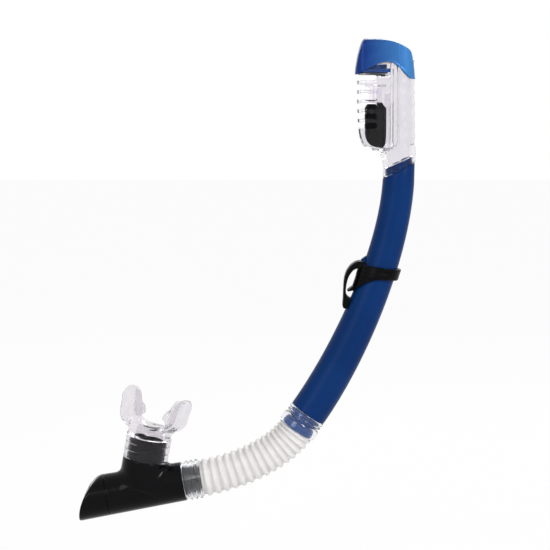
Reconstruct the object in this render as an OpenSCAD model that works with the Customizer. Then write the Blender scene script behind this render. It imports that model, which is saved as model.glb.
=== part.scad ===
// Dry-top snorkel.
// +Z is up and +X points to the rear of the tube. The tube bends in the XZ plane, and Y is its width.
// The origin is the middle of the keeper's strap slot, where a mask strap holds the snorkel.

/* [Barrel] */
// Outside diameter of the barrel at its upper shoulder
barrel_top_d = 28.2; // [27:0.1:31]
// Outside diameter of the barrel at its lower shoulder
barrel_bottom_d = 34; // [32:0.1:37]
// Wall thickness of the barrel
barrel_wall = 2.2; // [1.8:0.1:2.8]
// Height between the two shoulders of the barrel
barrel_rise = 218.7; // [190:0.1:250]
// Sideways run between the two shoulders
barrel_run = 80.6; // [60:0.1:100]
// Lean of the barrel's lower end from the vertical, in degrees
barrel_lean = 35; // [28:1:40]
// Slope of the shoulder under the dry top, in degrees
shoulder_slope = 26; // [15:1:28]
// Length of the spigot that the dry top sits on
top_spigot_len = 17; // [15:0.5:20]

/* [Keeper] */
// Place of the keeper along the barrel, as a share of its route from the top
keeper_station = 0.41; // [0.36:0.01:0.46]
// Height of the keeper's slanted ring
ring_h = 10.3; // [8.5:0.1:11.5]
// How far the keeper's ring rises towards its rear, in degrees
ring_slope = 10; // [6:1:12]
// Wall thickness of the keeper's ring and plate
keeper_wall = 2.9; // [2.2:0.1:3.6]
// Running clearance between the ring and the barrel
keeper_gap = 0.4; // [0.3:0.05:0.6]
// Clear width of the strap slot
slot_w = 5.8; // [5.4:0.1:6.6]
// Height of the strap slot
slot_h = 20; // [18.5:0.5:22]
// Thickness of the hook outside the slot
hook_t = 3.6; // [3:0.1:4.2]
// Width of the hook across the barrel
hook_w = 15; // [12:0.5:18]

/* [Dry top] */
// Depth of the dry top from the slatted front to the barrel's axis
cage_depth = 38.5; // [37:0.1:41]
// Half width of the float cage
cage_half_w = 15.5; // [15:0.1:18]
// Wall thickness of the clear housing and cage
clear_wall = 2; // [1.6:0.1:2.2]
// Height of the cage floor above the barrel's shoulder
floor_z = 17.6; // [17.2:0.1:20]
// Height of the cage ceiling above the barrel's shoulder
ceiling_z = 87; // [84:0.5:90]
// Number of slots across the cage front
slot_count = 6; // [4:1:6]
// Height of one breathing slot
vent_h = 5; // [4:0.1:5.6]
// Distance from one breathing slot to the next
vent_pitch = 8.4; // [8.2:0.1:8.8]
// Radius of the air port in the valve seat
port_r = 8; // [7:0.1:9]

/* [Float] */
// Front to back length of the float
float_l = 19.5; // [17:0.5:20.5]
// Width of the float
float_w = 22; // [18:0.5:24]
// Height of the float
float_h = 40; // [34:0.5:42]
// Travel of the float from its rest to the closed port
float_travel = 8; // [6:0.5:10]

/* [Cap] */
// Height of the cap above the cage ceiling
cap_h = 29.9; // [27:0.1:33]
// Wall thickness of the cap
cap_wall = 2.2; // [1.8:0.1:3]

/* [Hose] */
// Length of the upper collar
upper_collar_len = 18; // [16:0.5:22]
// Length of the lower collar
lower_collar_len = 16.5; // [15:0.5:20]
// Outside radius of both collars
collar_r = 17.4; // [17:0.1:18.5]
// Outside radius of the hose on a crest
crest_r = 16.8; // [16.4:0.1:18]
// Outside radius of the hose in a valley
valley_r = 15; // [14.6:0.1:15.4]
// Inside radius of the hose
hose_bore_r = 13.5; // [13:0.1:13.8]
// Number of crests along the hose
rib_count = 15; // [10:1:20]
// Sideways run of the ribbed hose
hose_run = 85; // [75:1:100]
// Drop of the ribbed hose
hose_drop = 44.4; // [35:0.1:55]

/* [Chamber] */
// Downward tilt of the chamber from the horizontal, in degrees
chamber_tilt = 10; // [5:1:15]
// Radius of the chamber at the hose
chamber_hose_r = 17.5; // [17:0.1:18.5]
// Radius of the chamber at the purge cover
chamber_end_r = 18.8; // [18:0.1:20]
// Length of the chamber from the hose shoulder to the purge cover
chamber_len = 70; // [68:0.5:76]
// Wall thickness of the chamber
chamber_wall = 2.2; // [1.8:0.1:2.8]
// Furthest reach of the purge cover from the hose shoulder
purge_reach = 99.5; // [97:0.5:104]
// Number of louvres through the purge cover
louvre_count = 5; // [3:1:5]
// Height of one louvre
louvre_h = 1.8; // [1.4:0.1:2.4]

/* [Mouthpiece] */
// Radius of the mouthpiece neck and of the chamber's neck below it
neck_r = 20.2; // [19.5:0.1:21]
// Wall thickness of the mouthpiece neck
neck_wall = 3; // [2.6:0.1:3.4]
// Height of the port that the mouthpiece is pushed over
port_h = 20; // [17:0.5:22]
// Turn of the mouthpiece about its neck, in degrees
mouth_turn = -35; // [-45:1:20]
// Height of the mouthpiece from its neck rim to the lip flange
flange_z = 28.5; // [28:0.5:32]
// Radius of the lip flange's curve
flange_r = 28.5; // [28:0.5:34]
// Height of the lip flange across the bite
flange_h = 32; // [26:0.5:36]
// Thickness of the lip flange
flange_t = 2.4; // [2:0.1:3]
// Thickness of a bite tab
tab_t = 4; // [3:0.1:5]

/* [Hidden] */
$fn = 64;

// Small distances that several pieces share
fit_gap = 0.1;        // between two pieces pushed together
seat_gap = 0.3;       // between a moving piece and what it rests on
cut = 1;              // how far a cutting shape runs past what it cuts
sides = 32;           // sides of the swept tubes

// Colours
ocean_blue = [0.05, 0.20, 0.47];
cap_blue = [0.07, 0.28, 0.66];
clear_plastic = [0.86, 0.87, 0.90, 0.45];
milky_silicone = [0.90, 0.90, 0.88, 0.75];
clear_silicone = [0.90, 0.90, 0.92, 0.55];
black_plastic = [0.04, 0.04, 0.05];

// ---- Curves in the XZ plane ----

function unit(v) = v / norm(v);
function ease(t) = t * t * (3 - 2 * t);
function bezier(p, t) =
    pow(1 - t, 3) * p[0] + 3 * pow(1 - t, 2) * t * p[1] + 3 * (1 - t) * t * t * p[2] + pow(t, 3) * p[3];
function bezier_dir(p, t) =
    unit(pow(1 - t, 2) * (p[1] - p[0]) + 2 * (1 - t) * t * (p[2] - p[1]) + t * t * (p[3] - p[2]));
function along(tilt, d) = [sin(tilt), cos(tilt)] * d;      // d along an axis that leans by tilt
function across(tilt, d) = [cos(tilt), -sin(tilt)] * d;    // d square to that axis, to its right

// The barrel's route, from the upper shoulder down, before it is moved to the strap slot
top_handle = 0.31 * barrel_rise;
bottom_handle = 0.306 * barrel_rise;
route_raw = [[0, 0], [0, -top_handle],
             [-barrel_run, -barrel_rise] + along(barrel_lean, bottom_handle),
             [-barrel_run, -barrel_rise]];
function barrel_r(t) = barrel_top_d / 2 + (barrel_bottom_d - barrel_top_d) / 2 * ease(t);

// The keeper's own frame: its axis runs up the barrel, and its front is towards -X
keeper_dir = bezier_dir(route_raw, keeper_station);
keeper_tilt = atan2(-keeper_dir[0], -keeper_dir[1]);
bore_r = barrel_r(keeper_station) + keeper_gap;
ring_r = bore_r + keeper_wall;
ring_top = 4.2;         // upper edge of the keeper's ring in front
hook_top = ring_top + 2.4;
plate_bottom = ring_top - slot_h - 5.4;
slot_x = -ring_r - slot_w / 2;
slot_z = ring_top - slot_h / 2 - 4.5;
slot_raw = bezier(route_raw, keeper_station) + across(keeper_tilt, slot_x) + along(keeper_tilt, slot_z);

// Every place below is measured from the strap slot
route = [for (p = route_raw) p - slot_raw];
keeper_at = bezier(route, keeper_station);
top_at = route[0];
barrel_end = route[3];
hose_start = barrel_end - along(barrel_lean, upper_collar_len);
hose_end = hose_start - [hose_run, hose_drop];
chamber_axis = -90 - chamber_tilt;                          // tilt of the axis that runs to the purge end
chamber_at = hose_end + along(chamber_axis, lower_collar_len);
hose_route = [hose_start, hose_start - along(barrel_lean, 0.28 * hose_run),
              hose_end - along(chamber_axis, 0.44 * hose_run), hose_end];

module place(p, tilt) {
    translate([p[0], 0, p[1]]) rotate([0, tilt, 0]) children();
}

// ---- Swept tubes ----

// One ring of points round centre c. dir runs down the tube, and slope leans the ring's rear side up it.
function ring(c, dir, r, slope = 0) =
    [for (i = [0:sides - 1])
        let (a = 360 * i / sides,
             front = [dir[1], -dir[0]] * r * cos(a),
             up = -dir * -r * cos(a) * tan(slope),
             p = c + front + up)
        [p[0], r * sin(a), p[1]]];

// A closed skin over a loop of rings: down the outside and back up the inside
module loop_skin(rings) {
    count = len(rings);
    polyhedron(
        points = [for (r = rings) each r],
        faces = [for (j = [0:count - 1], i = [0:sides - 1])
            let (k = (j + 1) % count, n = (i + 1) % sides)
            each [[j * sides + i, k * sides + i, k * sides + n], [j * sides + i, k * sides + n, j * sides + n]]]);
}

// ---- Barrel ----

top_spigot_r = barrel_top_d / 2 - clear_wall - fit_gap;
spigot_wall = 1.8;
bottom_spigot_r = hose_bore_r - fit_gap;
barrel_steps = 18;
barb = 0.5;

function spigot_ring(s, r) = ring(barrel_end - along(barrel_lean, s), -along(barrel_lean, 1), r);

module barrel() {
    down = [0, -1];
    spigot_len = upper_collar_len - 2;
    outer = concat(
        [ring(top_at + [0, top_spigot_len], down, top_spigot_r - barb),
         ring(top_at + [0, top_spigot_len - barb], down, top_spigot_r),
         ring(top_at, down, top_spigot_r, shoulder_slope),
         ring(top_at, down, barrel_r(0), shoulder_slope)],
        [for (i = [2:barrel_steps]) let (t = i / barrel_steps)
            ring(bezier(route, t), bezier_dir(route, t), barrel_r(t))],
        [spigot_ring(0, bottom_spigot_r), spigot_ring(spigot_len, bottom_spigot_r)]);
    inner = concat(
        [spigot_ring(spigot_len, bottom_spigot_r - spigot_wall),
         spigot_ring(0, bottom_spigot_r - spigot_wall)],
        [for (i = [barrel_steps - 1:-1:2]) let (t = i / barrel_steps)
            ring(bezier(route, t), bezier_dir(route, t),
                 min(barrel_r(t) - barrel_wall, bottom_spigot_r - spigot_wall + (1 - t) * barrel_steps))],
        [ring(top_at + [0, -2], down, top_spigot_r - spigot_wall),
         ring(top_at + [0, top_spigot_len], down, top_spigot_r - spigot_wall)]);
    color(ocean_blue) {
        loop_skin(concat(outer, inner));
        keeper_stop();
    }
}

// The ramp on the barrel's front that stops the keeper from riding up
stop_w = 7;
stop_rise = 3.6;
module keeper_stop() {
    low = hook_top + seat_gap;
    face = -bore_r - stop_rise + keeper_gap;
    place(keeper_at, keeper_tilt) rotate([90, 0, 0]) linear_extrude(stop_w, center = true)
        polygon([[-bore_r + 1.6, low], [face, low], [face + 0.3, low + 1], [face + 2.1, low + 3.6],
                 [-bore_r + 1.6, low + 6.6]]);
}

// ---- Keeper ----

// The space that the barrel fills between two stations, grown by the running clearance
module barrel_space(t0, t1) {
    a = bezier(route, t0);
    b = bezier(route, t1);
    run = b - a;
    place(a, atan2(run[0], run[1]))
        cylinder(r1 = barrel_r(t0) + keeper_gap, r2 = barrel_r(t1) + keeper_gap, h = norm(run));
}

foot_drop = 17.3;                         // how far the hook's foot reaches under the plate

// A point of the hook in the keeper's XZ plane: out from the plate's face, and up
function hook_point(out, z) = [-ring_r - out, z];

module hook_profile() {
    top = ring_top;
    foot = plate_bottom - foot_drop;
    arm = slot_w + hook_t;
    polygon([
        hook_point(-keeper_wall / 2, hook_top - 0.2), hook_point(0.8, hook_top), hook_point(arm - 4.9, top - 0.1),
        hook_point(arm - 1.7, top - 4.6), hook_point(arm, top - 10.4), hook_point(arm - 0.2, top - 17.4),
        hook_point(arm - 2.5, top - 26), hook_point(4.2, foot + 8), hook_point(2.7, foot + 1.8),
        hook_point(1.4, foot + 0.2), hook_point(-0.2, foot), hook_point(-3, foot + 1.4), hook_point(-4.9, foot + 5.4),
        hook_point(-4.9, foot + 10), hook_point(-1.5, foot + 10.6), hook_point(0.9, foot + 11.2),
        hook_point(slot_w - 3.2, foot + 12.4), hook_point(slot_w - 1.8, foot + 15), hook_point(slot_w - 0.8, top - 24),
        hook_point(slot_w, top - 19), hook_point(slot_w, top - 15), hook_point(slot_w - 0.3, top - 12.5),
        hook_point(slot_w - 1.9, top - 7.6), hook_point(0.6, top - 4.6), hook_point(-keeper_wall / 2, top - 4.6)]);
}

// The barb at the foot of the plate that keeps the strap in its slot
module barb_profile() {
    polygon([hook_point(-1, plate_bottom + 4), hook_point(0, plate_bottom + 3.4),
             hook_point(3.2, plate_bottom - 1.2), hook_point(2.2, plate_bottom - 1.8),
             hook_point(-1, plate_bottom)]);
}

module keeper() {
    above = ring_top + 2 * ring_r * tan(ring_slope) + 1;
    scoop_r = 43;
    scoop_x = ring_r + 3.5;
    scoop_z = plate_bottom - 19;
    color(black_plastic) difference() {
        place(keeper_at, keeper_tilt) {
            // the ring, slanted up towards its rear
            intersection() {
                translate([0, 0, plate_bottom]) cylinder(r = ring_r, h = above - plate_bottom);
                translate([-ring_r, 0, ring_top]) rotate([0, -ring_slope, 0])
                    translate([-ring_r, -2 * ring_r, -ring_h]) cube([4 * ring_r, 4 * ring_r, ring_h]);
            }
            // the front plate, cut away behind in one round sweep that starts under the ring
            difference() {
                translate([0, 0, plate_bottom]) cylinder(r = ring_r, h = ring_top - 2 - plate_bottom);
                translate([scoop_x, 0, scoop_z]) rotate([90, 0, 0]) cylinder(r = scoop_r, h = 3 * ring_r, center = true);
            }
            rotate([90, 0, 0]) linear_extrude(hook_w, center = true) hook_profile();
            rotate([90, 0, 0]) linear_extrude(hook_w, center = true) barb_profile();
        }
        place(keeper_at, keeper_tilt) translate([0, 0, plate_bottom - cut])
            cylinder(r = bore_r, h = above - plate_bottom + 2 * cut);
        barrel_space(keeper_station - 0.02, keeper_station + 0.12);
        barrel_space(keeper_station + 0.11, keeper_station + 0.28);
    }
}

// ---- Dry top: shared outlines, in a frame that stands on the barrel's upper shoulder ----

rear_r = barrel_top_d / 2 + 0.1;          // the housing's round rear
seam_x = -8.4;                            // joint between the rear housing and the front cage
front_corner_r = 9;
cage_front_x = -cage_depth;
housing_top = ceiling_z + 11;
socket_h = floor_z + clear_wall;
seat_t = 3;                               // valve seat
gasket_t = 1.2;                           // its gasket
lip_h = 1.4;                              // the gasket's sealing lip under it
pad_t = 2.2;                              // the pad that the float lifts against the lip

// Plan outline of the whole dry top, drawn in by inset
module plan(inset = 0) {
    r = front_corner_r - inset;
    half = cage_half_w - inset;
    front = cage_front_x + inset;
    translate([front + r, -half]) square([-front - r, 2 * half]);
    translate([front, -half + r]) square([r + 1, 2 * (half - r)]);
    for (side = [-1, 1]) translate([front + r, side * (half - r)]) circle(r);
    translate([-1, -rear_r + inset]) square([2, 2 * (rear_r - inset)]);
    circle(rear_r - inset);
}

// A side profile in the XZ plane, as wide as the whole dry top
module side(points) {
    rotate([90, 0, 0]) linear_extrude(3 * cage_half_w, center = true) polygon(points);
}

module box_between(lo, hi) {
    translate(lo) cube(hi - lo);
}

// ---- Rear housing with the air duct ----

ledge_t = 1.2;                             // ledge that the gasket lies on
rail_w = 3;
rail_depth = 4.5;
throat_z = 9;                              // where the cage's funnel leaves the barrel's socket

module duct_housing() {
    half = cage_half_w;
    color(clear_plastic) place(top_at, 0) difference() {
        union() {
            translate([0, 0, -rear_r]) cylinder(r = barrel_top_d / 2, h = rear_r + socket_h);
            // the funnel between the socket and the cage floor
            intersection() {
                translate([0, 0, throat_z])
                    cylinder(r1 = barrel_top_d / 2, r2 = barrel_top_d / 2 + 6, h = floor_z - throat_z - fit_gap);
                linear_extrude(floor_z) plan();
            }
            intersection() {
                translate([0, 0, floor_z - 2]) linear_extrude(housing_top - floor_z + 2) plan();
                box_between([seam_x, -2 * half, 0], [2 * half, 2 * half, housing_top]);
            }
            // guide rail for the float
            box_between([seam_x - rail_depth, -rail_w / 2, floor_z + clear_wall + 3],
                        [seam_x + 0.5, rail_w / 2, float_floor + float_h + float_travel]);
            // the flange under the valve seat's rear edge
            box_between([seam_x - 2.5, -half + clear_wall + ledge_t + 0.3, ceiling_z - 2.4],
                        [seam_x + 0.5, half - clear_wall - ledge_t - 0.3, ceiling_z - fit_gap]);
        }
        // the duct itself
        intersection() {
            translate([0, 0, socket_h]) linear_extrude(housing_top) plan(clear_wall);
            box_between([seam_x + clear_wall, -2 * half, 0], [2 * half, 2 * half, 2 * housing_top]);
        }
        // the way over the valve seat into the duct
        box_between([seam_x - cut, clear_wall - half, ceiling_z + seat_t],
                    [seam_x + clear_wall + cut, half - clear_wall, housing_top + cut]);
        // the socket over the barrel's spigot, and the way up from it into the duct
        translate([0, 0, -2 * rear_r]) cylinder(r = top_spigot_r + fit_gap, h = 2 * rear_r + top_spigot_len + fit_gap);
        intersection() {
            cylinder(r = top_spigot_r - spigot_wall, h = socket_h + cut);
            box_between([seam_x + clear_wall, -2 * half, 0], [2 * half, 2 * half, socket_h + cut]);
        }
        // the slanted joint with the barrel's shoulder
        rotate([0, -shoulder_slope, 0]) translate([-3 * rear_r, -3 * rear_r, -6 * rear_r + fit_gap])
            cube([6 * rear_r, 6 * rear_r, 6 * rear_r]);
    }
}

// ---- Front cage round the float ----

// The cage's outline from the side. It leans back under the cap.
module cage_side(inset) {
    front = cage_front_x + inset;
    low = floor_z + inset;
    side([[front + 3.6, housing_top + cut], [front, ceiling_z - 6], [front + 1.4, floor_z + 24],
          [front + 3, floor_z + 13], [front + 6 + inset / 3, floor_z + 5 + inset / 2],
          [front + 10 + inset / 2, low + 1.4], [front + 18, low], [cage_depth, low], [cage_depth, housing_top + cut]]);
}

vents_top = ceiling_z - gasket_t - ledge_t; // upper edge of the highest breathing slot
vent_rear_x = -20;                         // how far back the slots reach in the side walls

module float_cage() {
    half = cage_half_w;
    color(clear_plastic) place(top_at, 0) difference() {
        intersection() {
            cage_side(0);
            linear_extrude(housing_top) plan();
            box_between([-2 * cage_depth, -2 * half, 0], [seam_x - fit_gap, 2 * half, housing_top]);
        }
        intersection() {
            cage_side(clear_wall);
            union() {
                linear_extrude(vents_top) plan(clear_wall);
                linear_extrude(ceiling_z) plan(clear_wall + ledge_t);
                translate([0, 0, vents_top + ledge_t]) linear_extrude(housing_top) plan(clear_wall);
            }
        }
        // clearance over the barrel socket behind the floor
        cylinder(r = barrel_top_d / 2 + fit_gap, h = socket_h + fit_gap);
        for (i = [0:slot_count - 1])
            box_between([-2 * cage_depth, -2 * half, vents_top - i * vent_pitch - vent_h],
                        [vent_rear_x, 2 * half, vents_top - i * vent_pitch]);
        // drain in the floor
        translate([cage_front_x + 18, 0, 0]) cylinder(r = 3.2, h = floor_z + clear_wall + cut);
    }
}

// ---- Valve: a seat under the cap, and a float that lifts a pad against it ----

port_x = cage_front_x + clear_wall + 15.5;
float_x = port_x;                          // the float hangs under the port
float_floor = floor_z + clear_wall + seat_gap;
pad_top = ceiling_z - gasket_t - lip_h - float_travel;

module inside_cage(z, h, gap) {
    intersection() {
        cage_side(clear_wall + gap);
        translate([0, 0, z]) linear_extrude(h) plan(clear_wall + gap);
        box_between([-2 * cage_depth, -2 * cage_half_w, z], [seam_x - fit_gap, 2 * cage_half_w, z + h]);
    }
}

module valve_seat() {
    color(cap_blue) place(top_at, 0) difference() {
        union() {
            inside_cage(ceiling_z, seat_t, fit_gap);
            translate([port_x, 0, ceiling_z + seat_t - cut]) cylinder(r = port_r + 2, h = 4 + cut);
        }
        translate([port_x, 0, ceiling_z - cut]) cylinder(r = port_r, h = seat_t + 4 + 2 * cut);
    }
}

module seat_gasket() {
    color(black_plastic) place(top_at, 0) difference() {
        union() {
            intersection() {
                inside_cage(ceiling_z - gasket_t, gasket_t - 0.02, fit_gap);
                box_between([-2 * cage_depth, -cage_half_w, 0],
                            [seam_x - 2.5 - fit_gap, cage_half_w, 2 * ceiling_z]);
            }
            translate([port_x, 0, ceiling_z - gasket_t - lip_h]) cylinder(r = port_r + 1.4, h = lip_h + 0.5);
        }
        translate([port_x, 0, ceiling_z - gasket_t - lip_h - cut]) cylinder(r = port_r, h = 3 * cut + gasket_t + lip_h);
    }
}

module float() {
    front = float_x - float_l / 2;
    rear = float_x + float_l / 2;
    corner = 4;
    color(black_plastic) place(top_at, 0) difference() {
        intersection() {
            side([[front, float_floor + float_h], [front, float_floor + 14], [front + 1.4, float_floor + 7],
                  [front + 4.5, float_floor + 3], [front + 8, float_floor + 1.2],
                  [front + 13, float_floor], [rear - 4, float_floor],
                  [rear - 1.2, float_floor + 3], [rear, float_floor + 12], [rear, float_floor + float_h]]);
            union() {
                box_between([front, -float_w / 2 + corner, 0], [rear, float_w / 2 - corner, 2 * ceiling_z]);
                box_between([front + corner, -float_w / 2, 0], [rear - corner, float_w / 2, 2 * ceiling_z]);
                for (x = [front + corner, rear - corner], y = [-1, 1])
                    translate([x, y * (float_w / 2 - corner), 0]) cylinder(r = corner, h = 2 * ceiling_z);
            }
        }
        // groove for the guide rail
        box_between([min(seam_x - rail_depth, rear) - 0.6, -rail_w / 2 - 0.5, 0],
                    [rear + cut, rail_w / 2 + 0.5, 2 * ceiling_z]);
        // socket for the stem
        translate([float_x, 0, float_floor + float_h - stem_seat])
            cylinder(r = stem_r + fit_gap / 2, h = stem_seat + cut);
    }
}

stem_r = 2.6;
stem_seat = 8;
fin_l = 11;

module float_stem() {
    low = float_floor + float_h;
    color(clear_plastic) place(top_at, 0) translate([float_x, 0, 0]) {
        translate([0, 0, low - stem_seat + fit_gap / 2]) cylinder(r = stem_r, h = pad_top - low + stem_seat - pad_t / 2);
        // cross fins that stand on the float
        box_between([-fin_l / 2, -0.8, low + fit_gap / 2], [fin_l / 2, 0.8, pad_top - pad_t - fit_gap - 1]);
        box_between([-0.8, -fin_l / 2, low + fit_gap / 2], [0.8, fin_l / 2, pad_top - pad_t - fit_gap - 1]);
        translate([0, 0, pad_top - pad_t - fit_gap - 1]) cylinder(r = port_r - 1, h = 1);
    }
}

module seal_pad() {
    color(clear_silicone) place(top_at, 0) translate([float_x, 0, pad_top - pad_t]) difference() {
        cylinder(r = port_r + 1.6, h = pad_t - fit_gap);
        translate([0, 0, -cut]) cylinder(r = stem_r + fit_gap / 2, h = cut + pad_t / 2 + fit_gap);
    }
}

// ---- Cap ----

cap_skirt = 0.9;                           // how far the cap's skirt stands out from the cage
cap_front_x = cage_front_x - cap_skirt;
cap_top = ceiling_z + cap_h;
cap_rear_x = rear_r - 1.8;

// The cap's outline from the side. grow is negative for its inside.
module cap_side(grow) {
    f = cap_front_x - grow;
    t = cap_top + grow;
    b = cap_rear_x + grow;
    side([[f, ceiling_z - 20], [f, ceiling_z], [f + 2.6, t - 15], [f + 6.2, t - 3], [f + 8.5, t - 0.4],
          [f + 13, t], [f + 25, t - 0.5], [f + 33, t - 2.2], [b - 10, t - 5.8], [b - 4.4, t - 9.4],
          [b - 2.2, t - 12.4], [b - 1, t - 18], [b + 0.8, ceiling_z], [b + 1.4, ceiling_z - 20]]);
}

arch_x = -10.5;                            // crown of the arched skirt
arch_h = 9.2;
shoulder_r = 7;                            // rounding of the cap's upper edges

// The cap's outline from the front, grown by grow
module cap_front(grow) {
    half = cage_half_w + cap_skirt + grow;
    r = shoulder_r + grow;
    top = cap_top + grow;
    rotate([90, 0, 90]) linear_extrude(4 * cage_depth, center = true) {
        translate([-half, ceiling_z - 20]) square([2 * half, top - r - ceiling_z + 20]);
        translate([r - half, ceiling_z - 20]) square([2 * (half - r), top - ceiling_z + 20]);
        for (x = [r - half, half - r]) translate([x, top - r]) circle(r);
    }
}

module top_cap() {
    skirt_low = ceiling_z - 7;
    color(cap_blue) place(top_at, 0) difference() {
        intersection() {
            cap_side(0);
            cap_front(0);
            translate([0, 0, skirt_low]) linear_extrude(cap_h + 10) plan(-cap_skirt);
        }
        // the room for the air above the seat
        intersection() {
            cap_side(-cap_wall);
            cap_front(-cap_wall);
            translate([0, 0, housing_top]) linear_extrude(cap_h) plan(cap_wall - cap_skirt);
        }
        intersection() {
            cage_side(-fit_gap);
            linear_extrude(housing_top + fit_gap) plan(-fit_gap);
        }
        // the skirt's lower edge: rising from the front, arched on both sides, and low at the rear
        rotate([90, 0, 0]) linear_extrude(4 * cage_half_w, center = true) polygon([
            [cap_front_x - 5, skirt_low - 5], [cap_front_x - 5, ceiling_z - 3.4], [cap_front_x, ceiling_z - 2.9],
            [arch_x - 14.5, ceiling_z + 4.4], [arch_x - 7.5, ceiling_z + arch_h - 1.4],
            [arch_x - 3, ceiling_z + arch_h - 0.2], [arch_x + 1, ceiling_z + arch_h],
            [arch_x + 5, ceiling_z + arch_h - 1.4], [arch_x + 11.5, ceiling_z + 2.4],
            [arch_x + 16.5, ceiling_z - 2.6], [arch_x + 20.5, ceiling_z - 6.2],
            [cap_rear_x + 9, ceiling_z - 6.8], [cap_rear_x + 9, skirt_low - 5]]);
    }
}

// ---- Collars and hose ----

cuff_r = valley_r - 0.1;                   // outside of the hose's plain cuffs, under the collars
collar_bore_r = cuff_r + fit_gap;

module upper_collar() {
    bead = 0.9;
    color(clear_plastic) place(barrel_end, barrel_lean - 180) rotate_extrude() polygon([
        [collar_bore_r, fit_gap], [collar_r - 0.5, fit_gap], [collar_r - 0.1, 0.8], [collar_r, 6.2],
        [collar_r - 0.7, 7], [collar_r - 0.7, 7.8], [collar_r, 8.6], [collar_r + bead, 11],
        [collar_r + bead, upper_collar_len - 2], [collar_r, upper_collar_len - 0.6],
        [collar_r - 1.2, upper_collar_len], [collar_bore_r, upper_collar_len]]);
}

module lower_collar() {
    ribs = 3;
    pitch = (lower_collar_len - 3) / ribs;
    color(clear_plastic) place(hose_end, chamber_axis) rotate_extrude() polygon(concat(
        [[collar_bore_r, 0], [collar_r - 1.2, 0], [collar_r - 0.4, 0.8]],
        [for (i = [0:ribs - 1], p = [[0.5, 0.1], [1.2, 0.5], [2.8, 0.5], [3.5, -0.3]])
            [collar_r + p[1], 0.8 + i * pitch + p[0]]],
        [[collar_r - 0.3, lower_collar_len - fit_gap], [collar_bore_r, lower_collar_len - fit_gap]]));
}

hose_steps = rib_count * 4;

module flex_hose() {
    cuff_end_top = 1.5;                    // where the upper cuff begins under its collar
    cuff_end_low = lower_collar_len - 1.5;
    top_dir = -along(barrel_lean, 1);
    low_dir = along(chamber_axis, 1);
    // four rings make one rib: the foot, the crest's two edges, and the valley
    function rib_radius(i) = i % 4 == 1 || i % 4 == 2 ? crest_r : valley_r;
    outer = concat(
        [ring(barrel_end + top_dir * cuff_end_top, top_dir, cuff_r),
         ring(barrel_end + top_dir * upper_collar_len, top_dir, cuff_r)],
        [for (i = [1:hose_steps - 1]) let (t = i / hose_steps)
            ring(bezier(hose_route, t), bezier_dir(hose_route, t), rib_radius(i))],
        [ring(hose_end, low_dir, cuff_r), ring(hose_end + low_dir * cuff_end_low, low_dir, cuff_r)]);
    inner = concat(
        [ring(hose_end + low_dir * cuff_end_low, low_dir, hose_bore_r)],
        [for (i = [rib_count:-1:0]) let (t = i / rib_count)
            ring(bezier(hose_route, t), bezier_dir(hose_route, t), hose_bore_r)],
        [ring(barrel_end + top_dir * cuff_end_top, top_dir, hose_bore_r)]);
    color(milky_silicone) loop_skin(concat(outer, inner));
}

// ---- Chamber, in a frame whose axis runs from the hose to the purge end and whose X is up ----

neck_a = 30.8;                             // middle of the neck's rim along the chamber
neck_u = 25.6;                             // and above its axis
neck_lean = 20;                            // lean of the neck towards the hose
mouth_at = chamber_at + along(chamber_axis, neck_a) + across(chamber_axis, neck_u);
mouth_tilt = neck_lean - chamber_tilt;
port_outer_r = neck_r - neck_wall - fit_gap;
port_bore_r = port_outer_r - 2;

function chamber_r(a) = chamber_hose_r + (chamber_end_r - chamber_hose_r) * a / chamber_len;

module chamber_cone(a0, a1, shrink) {
    translate([0, 0, a0]) cylinder(r1 = chamber_r(a0) - shrink, r2 = chamber_r(a1) - shrink, h = a1 - a0);
}

// The neck's own frame, seen from the chamber's
module neck_frame() {
    translate([neck_u, 0, neck_a]) rotate([0, 90 + neck_lean, 0]) children();
}

// The port's half section, with ribs that grip the mouthpiece's neck
function port_profile() =
    let (step = port_h / 3, groove = 0.8)
    concat([[0, -1], [port_outer_r, -1]],
           [for (i = [0:2], p = [[0, 0], [0, 4.2], [groove, 4.8], [groove, step - 0.6]])
               [port_outer_r - p[0], i * step + p[1] + 0.6]],
           [[0, port_h]]);

module chamber() {
    spigot_len = lower_collar_len - 2;
    color(black_plastic) place(chamber_at, chamber_axis) difference() {
        union() {
            chamber_cone(0, chamber_len, 0);
            hull() {
                neck_frame() translate([0, 0, -6]) cylinder(r = neck_r - 0.4, h = 1, $fn = 40);
                chamber_cone(12, 56, 0.4, $fn = 40);
            }
            neck_frame() translate([0, 0, -9]) cylinder(r = neck_r, h = 9);
            neck_frame() rotate_extrude() polygon(port_profile());
            translate([0, 0, -spigot_len]) cylinder(r = bottom_spigot_r, h = spigot_len + 1);
        }
        chamber_cone(4, chamber_len - 3, chamber_wall);
        translate([0, 0, chamber_len - 4]) cylinder(r = purge_seat_r + fit_gap, h = 4 + cut);
        translate([0, 0, -spigot_len - cut]) cylinder(r = bottom_spigot_r - spigot_wall, h = spigot_len + 6);
        neck_frame() translate([0, 0, -neck_u + 4]) cylinder(r = port_bore_r, h = neck_u + port_h);
    }
}

// ---- Purge end ----

purge_seat_r = chamber_end_r - chamber_wall + 0.4;
seat_a = chamber_len - 4;                  // the seat stands on a step in the chamber's mouth
disc_r = 13;
disc_t = 1.3;
stem_hole_r = 1.7;
spokes = 5;

module purge_seat() {
    t = 2.6;
    hub_r = 3.6;
    window = 360 / spokes - 14;            // degrees of each window
    color(black_plastic) place(chamber_at, chamber_axis) translate([0, 0, seat_a + fit_gap]) difference() {
        cylinder(r = purge_seat_r, h = t);
        translate([0, 0, -cut]) cylinder(r = stem_hole_r, h = t + 2 * cut);
        for (i = [0:spokes - 1]) rotate(360 * i / spokes) translate([0, 0, -cut])
            rotate_extrude(angle = window) translate([hub_r, 0]) square([disc_r - 2.2 - hub_r, t + 2 * cut]);
    }
}

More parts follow.
